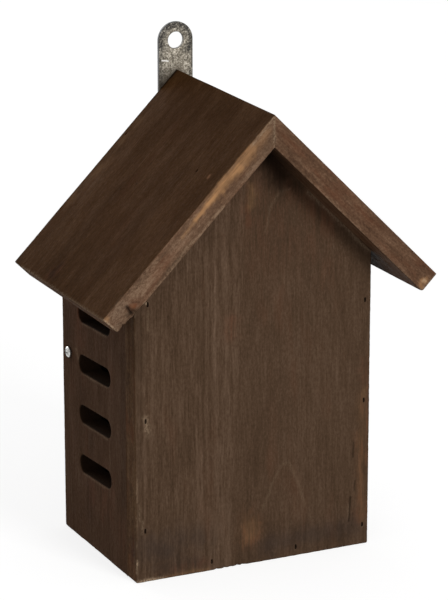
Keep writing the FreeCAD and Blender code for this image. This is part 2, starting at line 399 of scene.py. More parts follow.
def galvanised_steel():
    """Hot-dip zinc on the hanger plate: dull grains, grey cut edges, a brown darkening, tarnish and a bright
    scratch.
    """
    shader = Shader(bpy.data.materials.new("galvanised_steel"))
    where = shader.coordinates((3.0, 7.0, 1.0))
    swirl = shader.add("TexNoise", {"Vector": where, "Scale": 0.5}, 1)
    bent = shader.vector("ADD", where, shader.vector("MULTIPLY", swirl, (1.2,) * 3))
    cell = shader.add("TexVoronoi", {"Vector": bent, "Scale": 1.6}, "Color")
    crystal = shader.add("SeparateColor", {0: cell})
    fine = shader.noise(where, (1.5,) * 3, 4.0, 0.75)
    stain = shader.noise(where, (0.16,) * 3, 4.0, 0.65)
    scuff = shader.noise(where, (0.3, 2.2, 2.2), 3.0, 0.6)
    tone = 0.545 + crystal.swing(0.16) + fine.swing(0.95) + stain.swing(0.28) + scuff.swing(0.18)
    colour = shader.ramp(tone, [(0.05, rgb(0.030, 0.027, 0.023)), (0.5, rgb(0.175, 0.152, 0.116)),
                                (0.95, rgb(0.60, 0.55, 0.46))])
    for amount, paint in (
        (shader.attribute("rim"), rgb(0.16, 0.16, 0.16)),
        (shader.attribute("warm") * fine.spread(0.3, 0.7, 0.6, 1.1), rgb(0.050, 0.034, 0.021)),
        (shader.attribute("dark") * fine.spread(0.35, 0.7, 1.1, 0.5), rgb(0.012, 0.012, 0.013)),
        (shader.attribute("bare"), rgb(0.86, 0.85, 0.82)),
    ):
        colour = shader.mix(amount, colour, paint)
    roughness = tone.spread(0.1, 0.9, 0.62, 0.40)
    shader.put(shader.surface, {"Base Color": colour, "Metallic": 0.8, "Roughness": roughness})
    shader.bump(fine + crystal * 0.3 + scuff * 0.5, 0.3, 0.12 * MM)
    return shader.block


def plated_steel(name, colour, dull, roughness):
    """Zinc-plated screws and dull brads, with a little tarnish."""
    shader = Shader(bpy.data.materials.new(name))
    where = shader.coordinates((0.0, 0.0, 0.0))
    haze = shader.noise(where, (0.7,) * 3, 4.0, 0.65)
    grit = shader.noise(where, (5.0,) * 3, 3.0, 0.6)
    tarnish = (haze + grit.swing(0.2)).spread(0.42, 0.72)
    shader.put(shader.surface, {
        "Base Color": shader.mix(tarnish, colour, dull),
        "Metallic": 1.0,
        "Roughness": tarnish.spread(0.0, 1.0, roughness, roughness + 0.22),
    })
    shader.bump(haze + grit, 0.2, 0.05 * MM)
    return shader.block


# Board meshes


class Rows:
    """A mesh as it grows: its points, with how worn (edge), how sawn (rim) and how dark (gloom) each is, and
    its faces. Gloom is painted shade in the slots and on the nest's inner faces, and darkens the brads'
    pits."""

    def __init__(self):
        self.points = []
        self.values = []
        self.faces = []

    def add(self, points, edge=0.0, rim=0.0, gloom=0.0):
        """Adds points and returns their numbers."""
        first = len(self.points)
        count = len(points)
        self.points.extend(points)
        values = [np.broadcast_to(value, count) for value in (edge, rim, gloom)]
        self.values.extend(np.column_stack(values))
        return np.arange(first, first + count)

    def bridge(self, upper, lower):
        """Quads between two rings with as many points each."""
        rows = np.stack([upper, lower, np.roll(lower, -1), np.roll(upper, -1)], 1)
        self.faces.extend(rows.tolist())


class Loop:
    """A closed edge of a board: matching points on its outer face and on its inner one or a pit's bottom."""

    def __init__(self, outer, inner, inward, depth, shade, radius, through=True, gloom=0.0):
        zeros = np.zeros(len(outer))
        self.inward = np.column_stack([inward, zeros])
        self.outer = np.column_stack([outer, zeros])
        self.inner = np.column_stack([inner, zeros - depth])
        self.depth = depth
        self.shade = shade
        self.through = through
        self.gloom = gloom
        self.outer_radius = np.full(len(outer), radius)
        self.inner_radius = np.full(len(outer), radius)


def left_of(steps):
    """Unit vectors square to the steps, on their left."""
    steps = steps / np.linalg.norm(steps, axis=1, keepdims=True)
    return np.column_stack([-steps[:, 1], steps[:, 0]])


def left_normals(points):
    """Unit normals to the left of a closed run of points."""
    return left_of(np.roll(points, -1, 0) - np.roll(points, 1, 0))


def corner_insets(corners):
    """For each corner of an outline, the way that it moves when every side moves inwards by one."""
    normals = left_of(np.roll(corners, -1, 0) - corners)
    both = normals + np.roll(normals, 1, 0)
    return both / (both * normals).sum(1)[:, None]


def curve(start, corner, end, t):
    return (1 - t) ** 2 * start + 2 * t * (1 - t) * corner + t * t * end


def outline_weights(corners, spacing, radii):
    """Weights that draw a closed outline through its corners, each eased by a small curve, and the side
    that each point is on."""
    count = len(corners)
    unit = np.eye(count)
    rows = []
    sides = []
    for k in range(count):
        after = (k + 1) % count
        length = np.linalg.norm(corners[after] - corners[k])
        before_share = radii[k] / np.linalg.norm(corners[k - 1] - corners[k])
        after_share = radii[k] / length
        last_share = 1 - radii[after] / length
        ahead = unit[after] - unit[k]
        start = unit[k] + (unit[k - 1] - unit[k]) * before_share
        end = unit[k] + ahead * after_share
        for t in (0.0, 0.25, 0.5, 0.75):
            rows.append(curve(start, unit[k], end, t))
            sides.append((k - 1) % count if t < 0.5 else k)
        steps = max(2, round((last_share - after_share) * length / spacing))
        for share in np.linspace(after_share, last_share, steps, endpoint=False):
            rows.append(unit[k] + ahead * share)
            sides.append(k)
    return np.array(rows), np.array(sides)


def crossings_odd(points, rings):
    """Which points lie inside the outer ring and outside the holes."""
    odd = np.zeros(len(points), bool)
    x, y = points[:, 0], points[:, 1]
    for ring in rings:
        for (ax, ay), (bx, by) in zip(ring, np.roll(ring, -1, 0)):
            if ay != by:
                crosses = (ay > y) != (by > y)
                odd ^= crosses & (x < (bx - ax) * (y - ay) / (by - ay) + ax)
    return odd


def within(points, rings, gap):
    """The points that lie on a face and keep a gap from its rings."""
    points = points[crossings_odd(points, rings)]
    keep = np.ones(len(points), bool)
    for corner in np.concatenate(rings):
        keep &= ((points - corner) ** 2).sum(1) > gap * gap
    return points[keep]


def scattered(rings, spacing, rng):
    """An even scatter of points over a face."""
    low = rings[0].min(0)
    high = rings[0].max(0)
    points = []
    for i, y in enumerate(np.arange(low[1], high[1], spacing * ROW_SHARE)):
        for x in np.arange(low[0] + (i % 2) * spacing / 2, high[0], spacing):
            aside = rng.uniform(-JITTER, JITTER) * spacing
            points.append((x + aside, y + rng.uniform(-JITTER, JITTER) * spacing))
    return within(np.array(points), rings, spacing * 0.5)


def fill_face(rows, numbers, rings, spots, height, rim, gloom, flip):
    """Triangles over a face that lies between its rings, through the spots."""
    spot_numbers = rows.add([(x, y, height) for x, y in spots], rim=rim, gloom=gloom)
    all_numbers = np.concatenate([*numbers, spot_numbers])
    flat = [Vector(rows.points[n][:2]) for n in all_numbers]
    edges = []
    first = 0
    for ring in numbers:
        size = len(ring)
        edges.extend((first + i, first + (i + 1) % size) for i in range(size))
        first += size
    _, _, triangles, origins, _, _ = delaunay_2d_cdt(flat, edges, [], 0, 1e-7)
    source = np.array([origin[0] for origin in origins])
    triangles = source[np.array(triangles)]
    corners = np.array(flat)[triangles]
    triangles = triangles[crossings_odd(corners.mean(1), rings)]
    chosen = all_numbers[triangles]
    rows.faces.extend((chosen[:, ::-1] if flip else chosen).tolist())


def board_edge(rows, loop, inner_rim, inner_gloom):
    """The rings of one loop, from the outer face over the eased edge and down the sawn side. Returns the
    numbers of the first and last ring."""
    outer_radius = loop.outer_radius[:, None]
    inner_radius = loop.inner_radius[:, None]
    down = (loop.inner - loop.outer) / loop.depth
    face_start = loop.outer + loop.inward * outer_radius
    rim_start = loop.outer + down * outer_radius
    face_end = loop.inner + loop.inward * inner_radius
    rim_end = loop.inner - down * inner_radius
    rings = []
    for t, wear in zip(EDGE_STEPS, EDGE_WEAR):
        ring = curve(face_start, loop.outer, rim_start, t)
        rings.append(rows.add(ring, wear, loop.shade * t, loop.gloom * t))
    steps = max(2, round(loop.depth / RIM_SPACING))
    for share in np.arange(1, steps) / steps:
        rings.append(rows.add(rim_start + (rim_end - rim_start) * share, 0.0, loop.shade, loop.gloom))
    if loop.through:
        for t, wear in zip(EDGE_STEPS, EDGE_WEAR[::-1]):
            rim = loop.shade + (inner_rim - loop.shade) * t
            gloom = loop.gloom + (inner_gloom - loop.gloom) * t
            rings.append(rows.add(curve(rim_end, loop.inner, face_end, t), wear, rim, gloom))
    for upper, lower in zip(rings, rings[1:]):
        rows.bridge(upper, lower)
    return rings[0], rings[-1]


def cap_pit(rows, ring, gloom):
    """Closes the bottom of a pit."""
    middle = np.mean([rows.points[n] for n in ring], 0)
    centre = rows.add([middle], gloom=gloom)[0]
    rows.faces.extend([int(centre), int(b), int(a)] for a, b in zip(ring, np.roll(ring, -1)))


def noise_at(points, turns, shift=Vector()):
    """A smooth noise at each of the points."""
    return np.array([noise.noise(Vector(point) * turns + shift) for point in points])


class Piece:
    """A flat piece of wood or plate: its own axes, its loops, and the marks and chips that it carries."""

    def __init__(self, name, origin, grain, outward, thickness, seed, inner_gloom=0.0, inner_rim=0.0,
                 inner_spacing=HIDDEN_SPACING):
        self.name = name
        self.inner_gloom = inner_gloom
        self.inner_rim = inner_rim
        self.inner_spacing = inner_spacing
        self.origin = np.array(origin)
        self.axes = np.array([grain, Vector(outward).cross(grain), outward])
        self.thickness = thickness
        self.seed = seed
        self.loops = []
        self.marks = []
        self.rng = random.Random(seed)

    def local(self, points):
        """Points of the house's frame in the piece's own: along the grain, across it and out of its face."""
        return (np.array(points, float) - self.origin) @ self.axes.T

    def outline(self, outer, inner, shades, radius=EDGE_RADIUS):
        """The piece's outer edge, through corners of the house's frame. shades says how sawn each side
        looks, and is 0 for a side that is joined to another board."""
        outer = self.local(outer)[:, :2]
        inner = self.local(inner)[:, :2]
        shades = np.array(shades, float)
        after = np.roll(outer, -1, 0)
        if (outer[:, 0] * after[:, 1] - outer[:, 1] * after[:, 0]).sum() < 0:
            outer = outer[::-1]
            inner = inner[::-1]
            shades = np.roll(shades[::-1], -1)
        joined = (shades == 0) | (np.roll(shades, 1) == 0)
        weights, sides = outline_weights(outer, EDGE_SPACING, np.where(joined, JOINT_CORNER, CORNER_RADIUS))
        shade = shades[sides]
        inward = weights @ corner_insets(outer)
        loop = Loop(weights @ outer, weights @ inner, inward, self.thickness, shade, radius)
        loop.outer_radius[shade == 0] *= JOINT_EASE
        loop.inner_radius[shade == 0] *= JOINT_EASE
        self.loops.append(loop)

    def hole(self, middle, outer, inner=None, depth=None, shade=0.0, radius=0.3, gloom=0.0):
        """A hole or pit about a point of the house's frame; its outlines run against the outer edge."""
        place = self.local([middle])[0, :2]
        inner = outer if inner is None else inner
        outer = place + outer[::-1]
        inner = place + inner[::-1]
        through = depth is None
        depth = self.thickness if through else depth
        shades = np.full(len(outer), shade)
        self.loops.append(Loop(outer, inner, left_normals(outer), depth, shades, radius, through, gloom))

    def mark(self, kind, start, end, radius, strength):
        """A mark along a line of the house's frame, fading within about the radius."""
        line = self.local([start, end])
        self.marks.append((kind, line[0], line[1], radius, strength))

    def streaks(self, kind, place, *rows):
        """Marks of one kind. Each row has a mark's start and end, from which place makes points of the
        house's frame, its radius and its strength."""
        for start, end, radius, strength in rows:
            self.mark(kind, place(*start), place(*end), radius, strength)

    def scatter(self, kind, count, place, *spans):
        """Marks at random that run with the grain. The spans are the lowest and highest place across the
        grain, start, length, radius and strength."""
        for _ in range(count):
            across, start, length, radius, strength = (self.rng.uniform(*span) for span in spans)
            self.mark(kind, place(across, start), place(across, start + length), radius, strength)

    def chip(self, place, reach, depth, inner=False, steep=1.0):
        """Wood broken off the edge near a point of the house's frame. The far side, along the grain or
        across it, is steeper where steep is under 1."""
        spot = self.local([place])[0]
        loop = self.loops[0]
        line = loop.inner if inner else loop.outer
        radii = loop.inner_radius if inner else loop.outer_radius
        gap = line - spot
        near = np.where(gap[:, 0] + gap[:, 1] > 0, reach * steep, reach)
        fall = np.exp(-((np.linalg.norm(gap, axis=1) / near) ** 2))
        radii += depth * fall * (CHIP_DEPTH + CHIP_ROUGHNESS * noise_at(line, CHIP_TURNS))

    def ease_unevenly(self, amount):
        """Hand-sanded edges: the outer loop's radii wander along its length."""
        loop = self.loops[0]
        shift = Vector((self.seed * 7.3, 0, 0))
        for line, radii in ((loop.outer, loop.outer_radius), (loop.inner, loop.inner_radius)):
            slow = EASE_SLOW * noise_at(line, EASE_TURNS_SLOW, shift)
            quick = EASE_QUICK * noise_at(line, EASE_TURNS_QUICK, shift)
            radii *= np.maximum(LEAST_EASE, 1.0 + amount * (slow + quick))

    def spots(self, rings, spacing):
        """Points over a face: an even scatter, a band behind each edge, and a cluster at each mark."""
        spots = [scattered(rings, spacing, self.rng)]
        for ring in rings:
            for step in BAND_STEPS:
                spots.append((ring + step * left_normals(ring))[::2])
        for _, start, end, radius, _ in self.marks:
            mark_rings = MARK_RINGS if radius < FINE_MARK else MARK_RINGS[:-1]
            count = max(2, int(np.linalg.norm(end - start) / radius))
            for share in np.linspace(0, 1, count):
                middle = (start + (end - start) * share)[:2]
                for ring_share, around in mark_rings:
                    spots.append(middle + round_hole(ring_share * radius, around))
        return within(np.concatenate(spots), rings, SPOT_GAP)

    def build(self, material, body, slot):
        """Makes the mesh, stands it for its node and lets it ride."""
        rows = Rows()
        tops = []
        bottoms = []
        for loop in self.loops:
            top, bottom = board_edge(rows, loop, self.inner_rim, self.inner_gloom)
            tops.append(top)
            if loop.through:
                bottoms.append(bottom)
            else:
                cap_pit(rows, bottom, loop.gloom)
        for numbers, height, spacing, rim, gloom, flip in (
            (tops, 0.0, FACE_SPACING, 0.0, 0.0, False),
            (bottoms, -self.thickness, self.inner_spacing, self.inner_rim, self.inner_gloom, True),
        ):
            rings = [np.array([rows.points[n][:2] for n in ring]) for ring in numbers]
            spots = self.spots(rings, spacing)
            fill_face(rows, numbers, rings, spots, height, rim, gloom, flip)
        points = np.array(rows.points)
        edge, rim, gloom = np.array(rows.values).T
        marks = self.mark_values(points)
        marks["dark"] = np.maximum(marks["dark"], gloom)
        self.warp(points)
        mesh = bpy.data.meshes.new(self.name)
        mesh.from_pydata((points * MM).tolist(), [], rows.faces)
        for name, values in {"edge": edge, "rim": rim, **marks}.items():
            attribute = mesh.attributes.new(name, "FLOAT", "POINT")
            attribute.data.foreach_set("value", values.astype(np.float32))
        mesh.shade_smooth()
        mesh.materials.append(material)
        piece = new_object(self.name + "_finish", mesh)
        turn = Matrix(self.axes.T.tolist()).to_4x4()
        piece.matrix_world = Matrix.Translation(Vector(self.origin) * MM) @ turn
        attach(piece, body)
        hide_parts(self.name)

    def mark_values(self, points):
        """How strongly each kind of mark shows at each point. Marks sway sideways along their length, and
        their outlines are ragged."""
        values = {kind: np.zeros(len(points)) for kind in ("warm", "bare", "dry", "soil", "dark")}
        shift = Vector((0, 0, self.seed * 1.7))
        sway = noise_at(points, SWAY_TURNS, shift)
        ragged = noise_at(points, RAGGED_TURNS, -shift)
        for kind, start, end, radius, strength in self.marks:
            line = end - start
            length = max(np.linalg.norm(line), 1e-6)
            on_outer = abs(start[2]) < ON_FACE
            on_inner = abs(start[2] + self.thickness) < ON_FACE
            sideways = np.cross(line / length, (0, 0, 1) if on_outer or on_inner else (0, 1, 0))
            moved = points - start
            share = np.clip(moved @ line / length ** 2, 0, 1)
            gap = moved - share[:, None] * line + sideways * (sway * min(radius, MARK_SWAY))[:, None]
            if on_inner:
                gap[:, 2] *= RIM_MARK_BOUND
            elif not on_outer:
                gap[:, 1] *= RIM_MARK_BOUND
            away = np.linalg.norm(gap, axis=1) * (1 + RAGGED_SHARE * ragged)
            values[kind] = np.maximum(values[kind], strength * np.exp(-((away / radius) ** 2)))
        return values

    def warp(self, points):
        """A slight unevenness of the whole piece."""
        shift = Vector((0, self.seed * 3.1, 0))
        places = points * (WARP_TURNS_ALONG, WARP_TURNS_ACROSS, 0)
        points[:, 2] += WARP * noise_at(places, 1.0, shift)


# Hole outlines, counter-clockwise about their middle


def round_hole(radius, count=28):
    angles = np.arange(count) * 2 * math.pi / count
    return radius * np.column_stack([np.cos(angles), np.sin(angles)])


def slot_hole(length, height, count=14, spacing=1.2):
    """A round-ended slot whose length runs across the grain."""
    reach = (length - height) / 2
    angles = np.linspace(0, math.pi, count)
    cap = height / 2 * np.column_stack([np.cos(angles), np.sin(angles)]) + (0, reach)
    steps = round(2 * reach / spacing)
    side = np.linspace(reach, -reach, steps + 1)[1:-1]
    edge = np.column_stack([np.full(len(side), -height / 2), side])
    half = np.concatenate([cap, edge])
    return np.concatenate([half, -half])


def turned(points, angle):
    """The points, turned about their middle."""
    turn = np.array([[math.cos(angle), math.sin(angle)], [-math.sin(angle), math.cos(angle)]])
    return points @ turn


def pit_hole():
    """A brad's pit: a rectangle with round corners, long along the grain."""
    count = 16
    power = 0.5
    angles = (np.arange(count) + 0.5) * 2 * math.pi / count
    circle = np.column_stack([np.cos(angles), np.sin(angles)])
    return np.sign(circle) * np.abs(circle) ** power * (PIT_LONG / 2, PIT_SHORT / 2)


def head_middles(node, inward):
    """The middle of each fastener's head in a node; inward is the way that they were driven."""
    points = np.array([v.co for v in frame["nodes"][node].data.vertices]) / MM
    depth = points @ np.array(inward)
    heads = points[depth < depth.min() + HEAD_FLATNESS]
    middles = []
    while len(heads):
        near = np.linalg.norm(heads - heads[0], axis=1) < HEAD_REACH
        middles.append(heads[near].mean(0))
        heads = heads[~near]
    return middles


def add_pits(piece, node, inward, size=1.0):
    """A darkened pit over each of a node's sunk brads."""
    mouth = size * pit_hole()
    bottom = PIT_TAPER * mouth
    for middle in head_middles(node, inward):
        piece.hole(middle, mouth, bottom, PIT_DEPTH, radius=PIT_EDGE, gloom=PIT_GLOOM)
        piece.mark("dark", middle, middle, 0.8, 0.5)


def on_front(x, z):
    return x, front_y, z


def on_left_roof(down, y):
    """A point of the left slope, at a distance down from the ridge."""
    return Vector((0, y, ridge_top)) + LEFT_SLOPE * down


def on_left_rim(down, under):
    """A point of the left roof board's sawn front, down from the ridge and under the top face."""
    return Vector((0, rim_y, ridge_top)) + LEFT_SLOPE * down - LEFT_ROOF * under


def on_right_rim(down, under):
    return Vector((0, rim_y, ridge_top)) + RIGHT_SLOPE * down - RIGHT_ROOF * under


def on_right_soffit(down, y):
    """A point of the right slope's underside, at a distance down from the ridge."""
    x, _, z = on_right_rim(down, roof_thickness)
    return x, y, z


def left_eave(y, under):
    """A point of the left board's end at the eave, under the top face."""
    return Vector((eave_x, y, eave_top)) - LEFT_ROOF * under


# Boards


def upright(*rows):
    """Rows of marks that run straight up, from each one's X, lower end, upper end, radius and strength."""
    return [((x, low), (x, high), radius, strength) for x, low, high, radius, strength in rows]


def rectangle(low_x, low_y, high_x, high_y):
    return [(low_x, low_y), (high_x, low_y), (high_x, high_y), (low_x, high_y)]


def cross_board(name, outer_y, inner_y, corners, shades, seed, uneven=0.6):
    """A board that stands across the house, through corners of X and Z."""
    outward = Y if outer_y > inner_y else -Y
    piece = Piece(name, (0, outer_y, 0), Z, outward, abs(outer_y - inner_y), seed, INSIDE_PAINTED_SHADE)
    outer = [(x, outer_y, z) for x, z in corners]
    inner = [(x, inner_y, z) for x, z in corners]
    piece.outline(outer, inner, shades)
    piece.ease_unevenly(uneven)
    return piece


def front_panel():
    corners = [(-half_width, 0), (half_width, 0), (half_width, eave_height), (0, ridge_underside),
               (-half_width, eave_height)]
    shades = (1.0, 1.0, 0.0, 0.0, 1.0)
    piece = cross_board("front_panel", front_y, front_inner_y, corners, shades, 1, 0.7)
    piece.loops[0].inner_radius *= JOINT_EASE  # its inner edges lie on the walls and the floor
    for node in ("left_front_brads", "right_front_brads", "floor_brads"):
        add_pits(piece, node, Y)
    show_front_wood(piece)
    stain_and_shade_front(piece)
    saw_front_edge(piece)
    return piece


def show_front_wood(piece):
    """Places on the front where the stain lets the wood through."""
    # Reddish heartwood
    piece.streaks("warm", on_front, *upright(
        (-11.9, 113, 121, 2.8, 0.3), (-4.5, 165, 172, 3.0, 0.3), (29.0, 146, 154, 4.0, 0.16),
        (36.4, 131, 141, 4.0, 0.14), (57.6, 15, 92, 2.2, 0.36), (55.6, 22, 57, 2.2, 0.2),
        (55.0, 12, 17, 2.4, 0.3), (-2.4, 13, 20, 4.6, 0.5),
    ), ((-41, 4), (-25, 5), 2.4, 0.3))

    # Bare and dry wood: a rubbed arris, a scar at the foot, halos of the brads and a bruised lower edge
    piece.streaks("bare", on_front, *upright(
        (-2.4, 14, 19, 3.8, 0.2), (-1.6, 173, 182, 1.7, 0.24), (57.0, 73.5, 77, 1.2, 0.22),
        (56.6, 12, 72, 2.0, 0.1),
    ))
    piece.streaks("dry", on_front, *upright(
        (-59.9, 5, 11, 0.6, 1.0), (-59.3, 40, 51, 0.4, 0.25), (-59.3, 78, 110, 0.3, 0.08),
        (-54.9, 73.6, 79.4, 1.3, 0.45), (-53.4, 121, 130, 0.5, 0.16), (49.5, 14, 21, 0.35, 0.16),
        (-54.4, 133.4, 133.8, 0.5, 0.9), (-58.3, 30, 38, 0.5, 0.2), (-57.0, 24, 30, 0.6, 0.22),
    ), ((-59.6, 0.7), (-46, 0.7), 0.9, 0.85))
    piece.streaks("bare", on_front, ((-45, 1.0), (-24, 1.0), 1.2, 0.2))

    # Arched grain, faint
    for line in (((4.5, 26), (9, 38), (14, 46.5), (18, 47.3), (22.5, 38), (27, 24)),
                 ((4.9, 160), (8.1, 172), (12.4, 177.6), (17.5, 178.6))):
        for start, end in zip(line, line[1:]):
            piece.mark("dry", on_front(*start), on_front(*end), 0.8, 0.1)


def stain_and_shade_front(piece):
    """Cracks, soil, uneven stain and painted shade below the ridge on the front, and its splintered lower
    edge.
    """
    # Cracks near the right edge
    piece.streaks(
        "dark", on_front,
        ((51.6, 51.7), (51.7, 44.6), 0.4, 0.5), ((52.8, 32.4), (52.5, 27.8), 0.4, 0.5),
        ((50.6, 24.6), (49.6, 12.7), 0.45, 0.65), ((51.7, 16.3), (51.3, 10.3), 0.4, 0.4),
    )

    # Soil along the foot
    piece.streaks(
        "soil", on_front,
        ((-58, 16), (-44, 13), 7.0, 0.55), ((-40, 20), (-28, 18), 6.0, 0.45),
        ((-50, 6), (-30, 6), 4.0, 0.35), ((6, 8), (52, 10), 5.0, 0.45),
    )

    # Darker along the left arris, and painted shade below the ridge and over the gable
    piece.streaks(
        "dark", on_front,
        ((-59, 100), (-59, 136), 3.5, 0.24), ((-59, 52), (-59, 98), 3.0, 0.13),
        ((7, 195), (12.5, 186), 8.8, 0.85), ((13, 186), (20, 180.5), 5.0, 0.48),
        ((2, 182), (10, 160), 18.0, 0.1),
    )

    # Redder gable under the eaves, painted to colour the shade there, and a pale line below the right soffit
    piece.streaks("warm", on_front, ((2, 182), (10, 160), 20.0, 0.14), ((8, 190), (40, 158), 6.0, 0.25))
    piece.streaks("dry", on_front, ((27, 176.4), (59, 144.4), 0.9, 0.3))

    # Darker streaks up from the foot, and splinters out of its edge
    piece.scatter("dark", 30, on_front, (-52, 50), (-2, 6), (3, 15), (0.9, 2.6), (0.08, 0.28))
    for x, depth in ((-19.0, 1.2), (-15.2, 1.5), (-12.0, 1.1), (-8.8, 1.9), (-5.5, 1.6)):
        piece.chip(on_front(x, 0), 1.1, depth)


def saw_front_edge(piece):
    """Saw marks on the front panel's left edge."""
    for _ in range(60):
        z = piece.rng.uniform(4, 138)
        y = piece.rng.uniform(front_y + 1, front_inner_y - 2)
        start = (-half_width, y, z)
        end = (-half_width, y + piece.rng.uniform(1, 4), z + piece.rng.uniform(-2.5, 2.5))
        piece.mark("dark", start, end, 0.55, piece.rng.uniform(0.1, 0.4))


def side_wall(name, side, seed):
    """A side wall; side is -1 for the left one and 1 for the right one."""
    outer_x = side * half_width
    inner_x = side * inner_half_width
    thickness = half_width - inner_half_width
    piece = Piece(name, (outer_x, 0, 0), Z, X * side, thickness, seed, INSIDE_PAINTED_SHADE)
    outer = [(outer_x, y, z) for y, z in rectangle(front_inner_y, 0, back_y, eave_height)]
    inner = [(inner_x, y, z) for y, z in rectangle(front_inner_y, 0, back_y, wall_inner_top)]
    piece.outline(outer, inner, (0.3, 0.4, 0.0, 0.0))
    piece.ease_unevenly(0.6)

    def on_wall(y, z):
        return outer_x, y, z

    # Slots, their sawn sides darkened by painted shade, each with a pale sill painted as a highlight
    for i in range(SLOT_COUNT):
        middle = on_wall(SLOT_MIDDLE_Y, LOWEST_SLOT + i * SLOT_PITCH)
        outline = turned(slot_hole(SLOT_LENGTH, SLOT_HEIGHT), -side * SLOT_TILT)
        piece.hole(middle, outline, radius=0.5, gloom=SLOT_PAINTED_SHADE)
        # a painted highlight along the sill's lower arris
        sill = Vector(middle) + SLOT_DOWN * (SLOT_HEIGHT / 2 + 0.5)
        reach = SLOT_FORWARD * (SLOT_LENGTH - SLOT_HEIGHT) / 2
        piece.mark("dry", sill - reach, sill + reach, 0.6, 0.25)

    # The pivot's bore, with a dark ring round it and a painted shadow of the screw head ahead of it
    pivot_y, pivot_z = (value / MM for value in frame["joints"][0]["pos_m"][1:])
    ahead_y = pivot_y - 3.0
    piece.hole(on_wall(pivot_y, pivot_z), round_hole(PIVOT_BORE_RADIUS), radius=0.15)
    piece.streaks(
        "dark", on_wall,
        ((pivot_y, pivot_z), (pivot_y, pivot_z), 3.4, 0.75),
        ((ahead_y, pivot_z + 1.6), (ahead_y, pivot_z - 2.4), 0.5, 0.75),
    )
    add_pits(piece, name.replace("wall", "back_brad"), -X * side)

    # Uneven stain: reddish clouds, darker runs and a few scuffs
    front_run = front_inner_y + 3
    clouds = (("warm", 9, 8.0, 0.32), ("dark", 8, 5.0, 0.22), ("dry", 6, 1.0, 0.14))
    for kind, count, widest, most in clouds:
        piece.scatter(kind, count, on_wall, (front_run, back_y - 5), (6, 132), (4, 26),
                      (0.5 * widest, widest), (0.4 * most, most))
    piece.streaks("dry", on_wall, ((25.8, 93.2), (23.4, 89), 1.1, 0.25))
    piece.streaks("dark", on_wall, ((front_run, 35), (front_run, 105), 3.5, 0.2))
    return piece


def slope_corners(x, ridge, eave):
    """Corners of a roof board's face, from its heights at the ridge and at the eave."""
    return [(0, rim_y, ridge), (x, rim_y, eave), (x, back_y, eave), (0, back_y, ridge)]


def roof_board(name, side, downhill, outward, seed):
    """A roof board, mitred at the ridge; side is -1 for the left one and 1 for the right one."""
    piece = Piece(name, (0, 0, ridge_top), downhill, outward, roof_thickness, seed, inner_rim=SOFFIT_PAINTED_LIGHT,
                  inner_spacing=FACE_SPACING)
    outer = slope_corners(-side * eave_x, ridge_top, eave_top)
    inner = slope_corners(-side * eave_inner_x, ridge_underside, eave_underside)
    piece.outline(outer, inner, (1.0, 0.35, 0.3, 0.0), ROOF_EDGE_RADIUS)
    piece.ease_unevenly(0.7)
    add_pits(piece, name.replace("board", "brads"), -outward, ROOF_PIT_SIZE)
    return piece


def left_roof_board():
    piece = roof_board("left_roof_board", -1, LEFT_SLOPE, LEFT_ROOF, 4)
    wear_left_rim(piece)
    weather_and_shade_left_roof(piece)
    return piece


def wear_left_rim(piece):
    """The sawn front edge: a bare streak, a knot that has broken out below it, and rubbed arrises."""
    piece.streaks(
        "bare", on_left_rim,
        ((8, 1.8), (20, 2.4), 2.6, 0.25), ((18, 1.8), (30, 2.1), 2.6, 0.6),
        ((28, 2.3), (41, 2.4), 2.5, 1.0), ((40, 1.2), (48, 1.2), 1.5, 0.3),
        ((39, 2.6), (50, 2.9), 1.1, 1.0), ((49, 2.9), (58, 3.1), 0.9, 0.85),
        ((58, 3.3), (68, 3.8), 0.7, 0.3), ((116.6, 1.0), (117.6, 1.4), 1.0, 0.5),
        ((104.6, 6.8), (104.9, 6.4), 1.3, 0.12),
    )
    piece.streaks(
        "dry", on_left_rim,
        ((1.5, 0.5), (17, 0.8), 0.5, 0.7), ((1.0, 1.0), (10.5, 10.0), 0.45, 0.75),
        ((46, 9.7), (84, 9.7), 0.9, 0.3), ((84, 10.0), (102, 10.0), 0.5, 0.35),
        ((84, 2), (100, 2.5), 2.5, 0.14), ((118.2, 0.6), (117.6, 8.6), 0.5, 0.95),
        ((114.5, 9.4), (117.2, 9.0), 0.9, 0.8), ((109, 3), (116, 7), 4.5, 0.2),
    )
    piece.streaks("warm", on_left_rim, ((104.0, 6.9), (105.4, 6.3), 2.0, 0.8))
    piece.streaks(
        "dark", on_left_rim,
        ((106.9, 4.8), (107.7, 8.0), 0.85, 0.95), ((107.7, 8.2), (107.0, 10.4), 1.6, 1.0),
        ((101.5, 7.9), (104.0, 5.0), 0.45, 0.4), ((3, 4.5), (14, 8.0), 3.5, 0.3),
        ((14, 7.5), (34, 7.5), 3.0, 0.14),
    )
    piece.streaks("soil", on_left_rim, ((109, 3), (116, 7), 4.5, 0.2))
    piece.chip(on_left_rim(107.0, 10.5), 4.0, 3.4, inner=True, steep=0.16)
    piece.chip(on_left_rim(112.5, 10.5), 4.5, 2.2, inner=True)
    piece.chip(on_left_rim(118.5, 10.5), 6.0, 3.2, inner=True)


